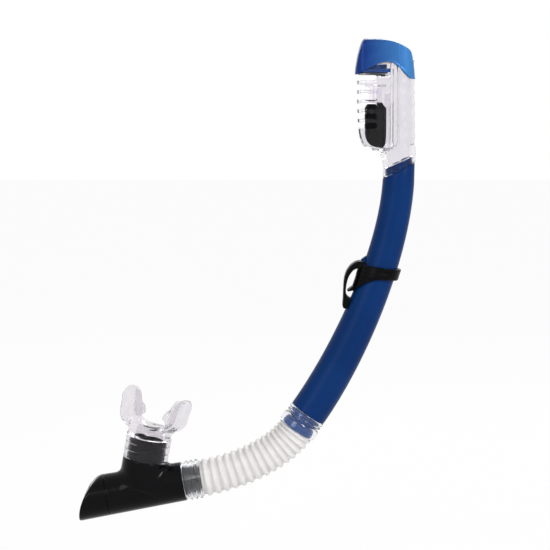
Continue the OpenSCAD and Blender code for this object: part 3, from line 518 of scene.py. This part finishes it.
def build_cage():
    """The clear front half with its six slots and a drain hole in its floor."""
    def field(p):
        x, y, z = p
        profile = cage_side(x, z)
        footprint = plan(x, y)
        outer = meet(profile, footprint, 3.0)
        shell = less(outer, meet(profile + CLEAR_WALL, footprint + CLEAR_WALL, 3.0))
        ledge = meet(meet(footprint, -(footprint + CLEAR_WALL + 1.2)), between(z, VENTS_TOP, VENTS_TOP + 1.2))
        shell = join(shell, meet(ledge, profile + 0.5))
        top = z - HOUSING_TOP
        shell = meet(meet(shell, top, 0.6), x - SEAM + FIT, 0.4)
        shell = less(shell, meet(disc(x, y, BARREL_TOP_R + FIT), z - FLOOR - CLEAR_WALL - FIT))
        for i in range(VENTS):
            middle = VENTS_TOP - VENT_H / 2 - i * VENT_PITCH
            reach = np.maximum(x + 20 + VENT_H / 2, 0)
            shell = less(shell, np.hypot(reach, z - middle) - VENT_H / 2, 1.1)
            # a shallow flute carries each slot's line on to the seam
            flute = np.hypot(z - middle, (CAGE_HALF + 1.7) - np.abs(y)) - 2.3
            shell = less(shell, meet(flute, between(x, -17.5, -9)), 0.6)
        drain = disc(x - CAGE_FRONT - 18, y, 3.2)
        return less(shell, meet(drain, z - FLOOR - 4), 0.5)
    solid("slatted_cage", field, (CAGE_FRONT, -CAGE_HALF, FLOOR), (SEAM, CAGE_HALF, HOUSING_TOP),
          "cage", "tube", ["float_cage"], at=TOP_AT)


def build_housing():
    """The clear rear half: the duct, the socket over the barrel and the rail that guides the float."""
    rail_top = FLOAT_LOW + FLOAT_H + TRAVEL

    def field(p):
        x, y, z = p
        # soft waves down the rear wall, which leans in towards the cap
        wave = WAVE_DEPTH - WAVE_DEPTH * np.cos((z - 0.12 * x) * 2 * math.pi / WAVE_PITCH)
        footprint = (plan(x, y) + wave * np.clip((x + 7) / 4, 0, 1)
                     + np.clip((z - 40) / 60, 0, 1) * np.clip((x + 2) / 10, 0, 1))
        block = meet(meet(footprint, between(z, FLOOR - 2, HOUSING_TOP), 0.8), SEAM - x, 0.4)
        socket = meet(disc(x, y, BARREL_TOP_R), between(z, -20, FLOOR + CLEAR_WALL))
        funnel = meet(disc(x, y, BARREL_TOP_R) - np.clip(z - 9, 0, 9) * 0.68, between(z, 6, FLOOR - 0.1), 0.5)
        outer = join(join(block, socket, 3.0), meet(funnel, plan(x, y)), 2.5)
        inner = meet(meet(footprint + CLEAR_WALL, SEAM + CLEAR_WALL - x, 2.0), FLOOR + CLEAR_WALL - z, 7.0)
        throat = meet(meet(disc(x, y, TOP_SPIGOT_R - SPIGOT_WALL), z - FLOOR - 4), SEAM + CLEAR_WALL - x)
        slant = z - x * math.tan(math.radians(SHOULDER_SLOPE))
        bore = meet(disc(x, y, TOP_SPIGOT_R + FIT), (slant - SPIGOT_RISE - FIT) * 0.9)
        throat = join(throat, meet(disc(x, y, TOP_SPIGOT_R - SPIGOT_WALL), between(z, -9, FLOOR + 5)))
        walls = less(less(less(outer, inner), throat, 0.5), bore)
        over = meet(meet(between(x, SEAM - 1, SEAM + CLEAR_WALL + 1), np.abs(y) - CAGE_HALF + CLEAR_WALL),
                    CEILING + 3 - z)
        walls = less(walls, over)
        rail = meet(meet(between(x, SEAM - 4.5, SEAM + 0.5), np.abs(y) - 1.5, 0.5),
                    between(z, FLOOR + CLEAR_WALL + 3, rail_top), 0.8)
        shelf = meet(meet(between(x, SEAM - 2.5, SEAM + 0.5), np.abs(y) - CAGE_HALF + CLEAR_WALL + 1.5),
                     between(z, CEILING - 2.4, CEILING - 0.1))
        slope = math.radians(SHOULDER_SLOPE)
        shoulder = (x * math.sin(slope) - z * math.cos(slope)) + FIT
        return meet(join(join(walls, rail, 0.8), shelf), shoulder, 0.6)
    solid("duct_shell", field, (-16, -16, -8), (16, 16, HOUSING_TOP), "housing", "tube", ["duct_housing"],
          at=TOP_AT)


def build_cap():
    """The cap: a tall rounded hood whose skirt rises in an arch on each side."""
    front, rear, top = CAGE_FRONT - 0.9, REAR_R - 1.8, CEILING + CAP_H
    side_points = soften([
        (front, CEILING - 20), (front, CEILING), (front + 2.6, top - 15), (front + 6.2, top - 3),
        (front + 8.5, top - 0.4), (front + 13, top), (front + 25, top - 0.5), (front + 33, top - 2.2),
        (rear - 10, top - 5.8), (rear - 4.4, top - 9.4), (rear - 2.2, top - 12.4), (rear - 1, top - 18),
        (rear + 0.8, CEILING), (rear + 1.4, CEILING - 20)])
    arch = -10.5                                          # the top of the skirt's arch
    skirt_points = soften([
        (front - 5, CEILING - 14), (front - 5, CEILING - 3.4), (front, CEILING - 2.9),
        (arch - 14.5, CEILING + 4.4), (arch - 7.5, CEILING + 7.8), (arch - 3, CEILING + 9),
        (arch + 1, CEILING + 9.2), (arch + 5, CEILING + 7.8), (arch + 11.5, CEILING + 2.4),
        (arch + 16.5, CEILING - 2.6), (arch + 20.5, CEILING - 6.2), (rear + 9, CEILING - 6.8),
        (rear + 9, CEILING - 14)])

    def field(p):
        x, y, z = p
        side = outline(x, z, side_points)
        shoulders = plate(y, z - CEILING + 20, CAGE_HALF + 0.9, CAP_H + 20, 7)
        skirt = outline(x, z, skirt_points)
        # a rolled lip follows the rear half of the arch
        lip = 0.45 * np.clip(1 - (skirt - 1.1) ** 2, 0, 1) * np.clip((x - arch + 5) / 4, 0, 1)
        outer = meet(meet(side, plan(x, y, 0.9)), shoulders, 1.5) - lip
        room = meet(outer + WALL, HOUSING_TOP - z)
        sleeve = meet(meet(plan(x, y, FIT), cage_side(x, z, -FIT)), z - HOUSING_TOP - FIT)
        return less(less(less(outer, room), sleeve), skirt, 0.9)
    solid("pearl_cap", field, (front, -17, CEILING - 8), (rear + 2, 17, top), "cap", "tube", ["top_cap"],
          at=TOP_AT)


def build_float():
    """The float: a block with a rounded front foot, a groove for the rail and a fine parting line."""
    middle, low, top = CAGE_FRONT + CLEAR_WALL + 15.5, FLOAT_LOW, FLOAT_LOW + FLOAT_H
    front, rear = middle - FLOAT_HALF_X, middle + FLOAT_HALF_X
    side_points = soften([
        (front, top), (front, low + 14), (front + 1.4, low + 7), (front + 4.5, low + 3),
        (front + 8, low + 1.2), (front + 13, low), (rear - 4, low), (rear - 1.2, low + 3),
        (rear, low + 12), (rear, top)], 1)

    def field(p):
        x, y, z = p
        body = meet(outline(x, z, side_points), plate(x - middle, y, FLOAT_HALF_X, FLOAT_HALF_Y, 4), 1.6)
        groove = meet(SEAM - 5.1 - x, np.abs(y) - 2)
        waist = between(z, low + 27.6, low + 28.4)
        parting = meet(-(plate(x - middle, y, FLOAT_HALF_X - 0.3, FLOAT_HALF_Y - 0.3, 4)), waist)
        return less(less(body, groove, 0.5), parting)
    solid("float_block", field, (front, -FLOAT_HALF_Y, low), (rear, FLOAT_HALF_Y, top), "float", "float_unit",
          ["float"], at=TOP_AT)


# ---- Hose and collars ----

def hose_r(t):
    """The hose's outer radius at share t of its curve: rounded crests and valleys."""
    swing = np.tanh(2.0 * np.sin(2 * math.pi * (t * RIBS - 0.125))) / math.tanh(2.0)
    return VALLEY_R + (CREST_R - VALLEY_R) * (0.5 + 0.5 * swing)


def build_hose():
    """The ribbed hose, bent between the two bodies, and the grooved cuffs that show through the collars."""
    rings_per_rib, bore_rings = 14, 60
    outer = route_rings(hose_route, hose_r, 0.0, 1.0, RIBS * rings_per_rib)
    inner = route_rings(hose_route, lambda t: HOSE_BORE_R, 1.0, 0.0, bore_rings)
    hose = piece("ribbed_hose", *skin(outer + inner), "hose", None, ["flex_hose"])
    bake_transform(hose)
    cuff = VALLEY_R - FIT
    waist = cuff - 0.6
    for name, at, tilt, start, stop, finish, body in (
            # the upper cuff wears the spigot finish, whose paler blue is painted light standing for the
            # barrel's blue lit under the collar
            ("upper_cuff", BARREL_END, LEAN - 180, 1.5, UPPER_COLLAR, "spigot", "tube"),
            ("lower_cuff", HOSE_END, CHAMBER_AXIS, 0, LOWER_COLLAR - 1.5, "collar", "lower_unit")):
        grooves = [(r, start + first + z) for first in (4, 9.4)
                   for r, z in ((cuff, 0), (waist, 0.6), (waist, 1.6), (cuff, 2.2))]
        turned(name, [(HOSE_BORE_R, start), (cuff, start), *grooves, (cuff, stop), (HOSE_BORE_R, stop)],
               at, tilt, finish, body)


def build_collars():
    """The two clear collars over the hose's ends: a stepped one on top, and one with three ribs."""
    bore, r, length, last = VALLEY_R, COLLAR_R, UPPER_COLLAR, LOWER_COLLAR - FIT
    turned("upper_collar_ring", [
        (bore, FIT), (r - 0.6, FIT), (r - 0.1, 0.8), (r, 3.0), (r - 1.1, 3.6), (r - 1.1, 4.4), (r, 5.0),
        (r, 6.2), (r - 1.4, 6.9), (r - 1.4, 7.9), (r, 8.6), (r + 0.9, 10.6), (r + 0.9, length - 2.4),
        (r + 0.4, length - 1), (r - 1.2, length), (bore, length)],
        BARREL_END, LEAN - 180, "collar", "tube", ["upper_collar"])
    pitch = (LOWER_COLLAR - 3) / 3
    ribs = [(r + out, 0.8 + i * pitch + z)
            for i in range(3) for z, out in ((0.4, -1.2), (1.2, 0.5), (2.8, 0.5), (3.6, -1.2))]
    turned("lower_collar_ring",
           [(bore, 0), (r - 1.2, 0), (r - 0.4, 0.8), *ribs, (r - 0.3, last), (bore, last)],
           HOSE_END, CHAMBER_AXIS, "collar", "lower_unit", ["lower_collar"])


# ---- Chamber and purge cover ----

def chamber_r(a):
    """The chamber's outer radius, a along its axis."""
    return CHAMBER_R + (CHAMBER_END_R - CHAMBER_R) * a / CHAMBER_LEN


def build_chamber():
    """The T-shaped chamber. u is up from its axis and a along it, and x and z are in the neck's own frame."""
    port_r = NECK_R - NECK_WALL - FIT
    step = PORT_H / 3                                     # of the three ribs that grip the mouthpiece's neck

    def field(p):
        u, y, a = p
        x, _, z = local(p, (NECK_U, NECK_A), MOUTH_TILT - CHAMBER_AXIS)
        round_u, round_x = np.hypot(u, y), np.hypot(x, y)
        body = meet(round_u - chamber_r(a), between(a, 0, CHAMBER_LEN), 0.8)
        neck = meet(round_x - NECK_R, between(z, -24, 0), 1.0)
        groove = 0.8 * (np.mod(z, step) > 4.9) * (z > 0)
        port = meet(round_x - port_r + groove, between(z, -2, PORT_H), 0.8)
        spigot = meet(round_u - SPIGOT_R + 0.7 * (np.mod(a, 4.4) < 1.5), between(a, 2 - LOWER_COLLAR, 1), 0.6)
        root = meet(join(body, neck, 5.0), np.abs(y) - NECK_R + 0.05, 1.0)
        outer = join(join(root, port), spigot)
        hollow = meet(round_u - chamber_r(a) + WALL, between(a, 4, CHAMBER_LEN - 3))
        seat = meet(round_u - (CHAMBER_END_R - WALL + 0.5), CHAMBER_LEN - SEAT_DEPTH - a)
        way_in = meet(round_u - SPIGOT_R + SPIGOT_WALL, a - 6)
        way_up = meet(round_x - port_r + 2, 4 - NECK_U - z)
        inner = join(join(hollow, seat), join(way_in, way_up))
        return less(outer, inner, 0.6)
    solid("t_chamber", field, (-20, -NECK_R, -15), (48, NECK_R, CHAMBER_LEN), "chamber", "lower_unit",
          ["chamber"], at=CHAMBER_AT, tilt=CHAMBER_AXIS)


def build_purge_cover():
    """The chamber's slanted end: a cone cut by a rounded back, with louvres in two rows."""
    slant_a = PURGE_REACH - SLANT_R
    root = CHAMBER_LEN + FIT

    def shell(u, round_u, a, shrink):
        back = disc(u - SLANT_U, a - slant_a, SLANT_R - shrink)
        return meet(round_u - chamber_r(a) + shrink, back, 2.2)

    def field(p):
        u, y, a = p
        round_u = np.hypot(u, y)
        cover = less(shell(u, round_u, a, 0), shell(u, round_u, a, WALL))
        cover = meet(cover, root - a, 0.4)
        for i in range(LOUVRES):
            middle = LOUVRE_TOP - i * LOUVRE_PITCH
            for side in (-1, 1):
                row = y - side * (LOUVRE_L + LOUVRE_RIB) / 2
                louvre = meet(plate(u - middle, row, LOUVRE_H / 2, LOUVRE_L / 2, 0.8), root + 3.4 - a)
                cover = less(cover, louvre, 0.5)
        return cover
    solid("louvred_cover", field, (-20, -20, CHAMBER_LEN), (20, 20, 100), "chamber", "lower_unit",
          ["purge_cover"], at=CHAMBER_AT, tilt=CHAMBER_AXIS)


# ---- Mouthpiece ----

def build_mouthpiece():
    """The bite piece: a round neck, an oval way through, a flange bent round the teeth, and two bite tabs."""
    centre, power = FLANGE_Z + 18, 2.6                    # of the dental arch, which is squarer than a circle
    turn = math.radians(MOUTH_TURN)

    def arch(shrink, angles):
        """The arch from wing to wing, shrink inside its outer face."""
        across_it = np.sign(angles) * np.abs(np.sin(angles)) ** (2 / power)
        return list(zip((FLANGE_R - shrink) * across_it,
                        centre - (centre - FLANGE_Z - shrink) * np.cos(angles) ** (2 / power)))
    # a band along the dental arch, whose two ends flare outwards
    a = np.radians(np.arange(-84, 85, 6.0))
    flare = [(FLANGE_R, centre), (FLANGE_R + 1.4, centre + 10), (FLANGE_R + 3.4, centre + 16.5),
             (FLANGE_R + 1.2, centre + 16.5), (FLANGE_R - 0.9, centre + 10), (FLANGE_R - FLANGE_T, centre)]
    band_points = arch(0, a) + flare + arch(FLANGE_T, a[::-1]) + [(-x, z) for x, z in flare[::-1]]
    tab_points = [(14, 38.5), (13.4, 43.5), (15.8, 48.5), (18.4, 54), (21.5, 59.6), (25.4, 60.2), (28.4, 57),
                  (27.8, 47), (27, 40), (24.2, 34.4), (19, 30.6), (15.6, 33.4)]
    ridge_points = [(12.4, 39.4), (12.4, 43.6), (15.4, 48.6), (17.6, 48), (15.8, 43.4), (15.6, 39)]

    def field(p):
        x, y, z = p
        # the part above the port leans a little towards the barrel
        lean = 0.055 * np.maximum(z - 26, 0)
        x, y = x - math.cos(turn) * lean, y + math.sin(turn) * lean
        neck = meet(np.hypot(x, y) - NECK_R, between(z, 0.1, PORT_H + 2), 0.8)
        # the neck turns into an oval under the lips
        rise = np.clip((z - PORT_H) / 9, 0, 1)
        rise = rise * rise * (3 - 2 * rise)
        wide = NECK_R - 0.5
        oval = (np.hypot(x / (wide + 2.3 * rise), y / (wide - 6.7 * rise)) - 1) * (wide - 6.5 * rise)
        root = meet(oval, between(z, PORT_H - 1, FLANGE_Z + 2), 1.0)
        body = join(neck, root, 1.5)
        # the flange sweeps back towards its upper and lower edges, and each wing is round in side view
        band = outline(x, z + 0.008 * y * y, soften(band_points, 1))
        reach = (np.abs(x) / (FLANGE_R + 22)) ** power + (np.abs(y) / (FLANGE_H / 2)) ** power
        reach = reach ** (1 / power) - 1
        crown = np.hypot(y, np.maximum(z - centre, 0)) - FLANGE_H / 2
        flange = meet(meet(band, reach * FLANGE_H / 2, 1.6), crown, 1.2)
        side = np.abs(x)
        # small dots on the tabs hold the teeth, and a ridge stands behind them
        dots = 0.5 * np.clip(np.cos(x * 2.7) * np.cos(z * 2.7), 0, 1) ** 2 * (z > 43)
        tab = meet(outline(side, z, soften(tab_points)), np.abs(y) - 1.8 - dots, 1.2)
        ridge = meet(outline(side, z, soften(ridge_points)), np.abs(y) - 4.4, 1.6)
        body = join(join(body, flange, 7.0), join(tab, ridge, 1.6), 3.0)
        # three ribs grip the port, with a groove between each two
        grip = 0.9 * np.clip(1 - (np.abs(np.mod(z + 1.6, 6.7) - 3.35) / 1.1) ** 2, 0, 1)
        bore = meet(np.hypot(x, y) - NECK_R + NECK_WALL - grip, z - PORT_H - 0.1)
        shut = np.clip((z - PORT_H) / 13, 0, 1)
        way = (np.hypot(x / (13.6 - 0.6 * shut), y / (13.6 - 5.1 * shut)) - 1) * (13.6 - 5 * shut)
        return less(body, join(bore, way), 0.6)
    solid("bite_mouthpiece", field, (-33, -NECK_R, 0), (37, NECK_R, 64), "silicone", "bite_piece",
          ["mouthpiece"], at=MOUTH_AT, tilt=MOUTH_TILT, turn=MOUTH_TURN)


# ---- Soft valve parts ----

def build_seat_gasket():
    """A flat gasket under the valve seat, with a raised lip round the port."""
    low = CEILING - GASKET_T

    def field(p):
        x, y, z = p
        inset = CLEAR_WALL + FIT
        sheet = meet(meet(plan(x, y) + inset, cage_side(x, z, inset)), x - SEAM + 2.6)
        sheet = meet(sheet, between(z, low, CEILING - 0.02), 0.3)
        round_port = disc(x - PORT_X, y, 0)
        lip = meet(round_port - PORT_R - 1.4 + 0.5 * (low - z), between(z, low - LIP_H, low + 0.5), 0.5)
        return less(join(sheet, lip, 0.5), round_port - PORT_R, 0.3)
    solid("port_gasket", field, (CAGE_FRONT, -CAGE_HALF, low - LIP_H), (SEAM, CAGE_HALF, CEILING),
          "gasket", "tube", ["seat_gasket"], at=TOP_AT, voxel=0.3)


def build_seal_pad():
    """The soft pad on the float's stem, dished on top where it meets the lip."""
    top = CEILING - GASKET_T - LIP_H - TRAVEL

    def field(p):
        x, y, z = p
        r = disc(x - PORT_X, y, 0)
        dish = 0.3 * np.clip(1 - (r / (PORT_R - 1)) ** 2, 0, 1)
        pad = meet(r - PORT_R - 1.5, between(z, top - PAD_T, top - 0.1 - dish), 0.7)
        return less(pad, meet(r - 2.65, z - top + PAD_T / 2 - 0.1))
    solid("float_seal_pad", field, (PORT_X - 10, -10, top - PAD_T), (PORT_X + 10, 10, top),
          "silicone", "float_unit", ["seal_pad"], at=TOP_AT, voxel=0.3)


def build_purge_valve():
    """A thin domed disc with a barbed stem, pulled through the hub of its seat."""
    turned("purge_flap", [
        (0.02, VALVE_A - 7.8), (0.9, VALVE_A - 7.7), (STEM_R + 0.8, VALVE_A - 5.5), (STEM_R, VALVE_A - 5.3),
        (STEM_R, VALVE_A), (DISC_R - 0.2, VALVE_A), (DISC_R, VALVE_A + 0.2), (DISC_R - 0.3, VALVE_A + 0.7),
        (DISC_R - 5, VALVE_A + DISC_T - 0.2), (3.4, VALVE_A + DISC_T - 0.1), (0.02, VALVE_A + DISC_T)],
        CHAMBER_AT, CHAMBER_AXIS, "silicone", "purge_disc", ["purge_valve"])


# ---- CAD nodes that keep their shape ----

def dress(node, finish):
    """Gives a CAD node that is shown as it is one of the finishes."""
    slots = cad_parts[node].data.materials
    slots.clear()
    slots.append(finishes[finish])


build_barrel()
build_keeper()
build_cage()
build_housing()
build_cap()
build_float()
build_hose()
build_collars()
build_chamber()
build_purge_cover()
build_mouthpiece()
build_seat_gasket()
build_seal_pad()
build_purge_valve()
dress("valve_seat", "seat")
dress("float_stem", "cage")
dress("purge_seat", "chamber")


# ---- Studio, in metres ----

WORLD_LEVEL = 0.45               # the world's brightness as a lamp; the camera sees it white
FLOOR_GLOW = 0.94                # how much of the floor's white the camera sees whatever light falls on it
FLOOR_DEPTH = 0.115              # of the floor under the part, which the chamber clears when the hose bends
FLOOR_HALF = 6.0
LAMP_AIM = Vector((-0.07, 0, 0))
LAMPS = (                        # name, place, size and watts
    ("key_light", (1.3, -1.5, 1.0), 0.9, 29),
    ("fill_light", (-1.0, -1.6, 0.6), 1.0, 9),
    ("rim_light", (0.3, 1.4, 1.0), 0.8, 10))
CAMERA_AIM = Vector((-0.0684, 0, 0.002))
CAMERA_DISTANCE = 2.14
CAMERA_ELEVATION = math.radians(6.3)
VIEW_WIDTH = 0.4913              # what the picture spans at the object
SENSOR = 36                      # the camera's sensor, in millimetres


def white_rays(tree):
    """1 on a ray from the camera, a mirrored one or one through something clear, and 0 on any other."""
    rays = add(tree, "ShaderNodeLightPath").outputs
    seen = rays["Is Camera Ray"]
    for kind in ("Is Glossy Ray", "Is Transmission Ray"):
        either = add(tree, "ShaderNodeMath", {"operation": "MAXIMUM"}, {0: seen, 1: rays[kind]})
        seen = either.outputs["Value"]
    return seen


def pale_floor():
    """A pale matt floor that looks white to the camera and keeps a faint shadow of the object."""
    material = moulded("pale_floor", ("#f4f4f4", "#f8f8f8"), 300, (0.85, 0.95, 50), Specular_IOR_Level=0.1)
    tree = material.node_tree
    surface = tree.nodes["Material Output"].inputs["Surface"]
    lit = surface.links[0].from_socket
    glow = add(tree, "ShaderNodeEmission", inputs={"Color": (1, 1, 1, 1), "Strength": 1.0})
    share = add(tree, "ShaderNodeMath", {"operation": "MULTIPLY"}, {0: white_rays(tree), 1: FLOOR_GLOW})
    mix = add(tree, "ShaderNodeMixShader",
              inputs={0: share.outputs["Value"], 1: lit, 2: glow.outputs["Emission"]})
    tree.links.new(mix.outputs["Shader"], surface)
    return material


def build_studio():
    z = cad_box[0][2] - FLOOR_DEPTH
    corners = [(x * FLOOR_HALF, y * FLOOR_HALF, z) for x, y in ((-1, -1), (1, -1), (1, 1), (-1, 1))]
    mesh = bpy.data.meshes.new("studio_floor")
    mesh.from_pydata(corners, [], [(0, 1, 2, 3)])
    mesh.materials.append(pale_floor())
    floor = bpy.data.objects.new("studio_floor", mesh)
    bpy.context.collection.objects.link(floor)

    world = bpy.data.worlds.new("studio_world")
    world.use_nodes = True
    tree = world.node_tree
    tree.nodes.clear()
    strength = add(tree, "ShaderNodeMapRange",
                   inputs={"Value": white_rays(tree), "To Min": WORLD_LEVEL, "To Max": 1.0}).outputs["Result"]
    white = add(tree, "ShaderNodeBackground", inputs={"Color": (1, 1, 1, 1), "Strength": strength})
    add(tree, "ShaderNodeOutputWorld", inputs={"Surface": white.outputs["Background"]})
    bpy.context.scene.world = world

    for name, place, size, watts in LAMPS:
        light = bpy.data.lights.new(name, "AREA")
        light.shape, light.size, light.energy = "DISK", size, watts
        lamp = bpy.data.objects.new(name, light)
        lamp.location = place
        lamp.rotation_euler = (LAMP_AIM - Vector(place)).to_track_quat("-Z", "Y").to_euler()
        bpy.context.collection.objects.link(lamp)


def build_camera():
    camera = bpy.data.objects.new("camera", bpy.data.cameras.new("camera"))
    camera.data.lens = SENSOR * CAMERA_DISTANCE / VIEW_WIDTH
    away = Vector((0, -math.cos(CAMERA_ELEVATION), math.sin(CAMERA_ELEVATION)))
    camera.location = CAMERA_AIM + CAMERA_DISTANCE * away
    camera.rotation_euler = (CAMERA_AIM - camera.location).to_track_quat("-Z", "Y").to_euler()
    bpy.context.collection.objects.link(camera)
    bpy.context.scene.camera = camera
    bpy.context.scene.view_settings.view_transform = "Standard"


build_studio()
build_camera()
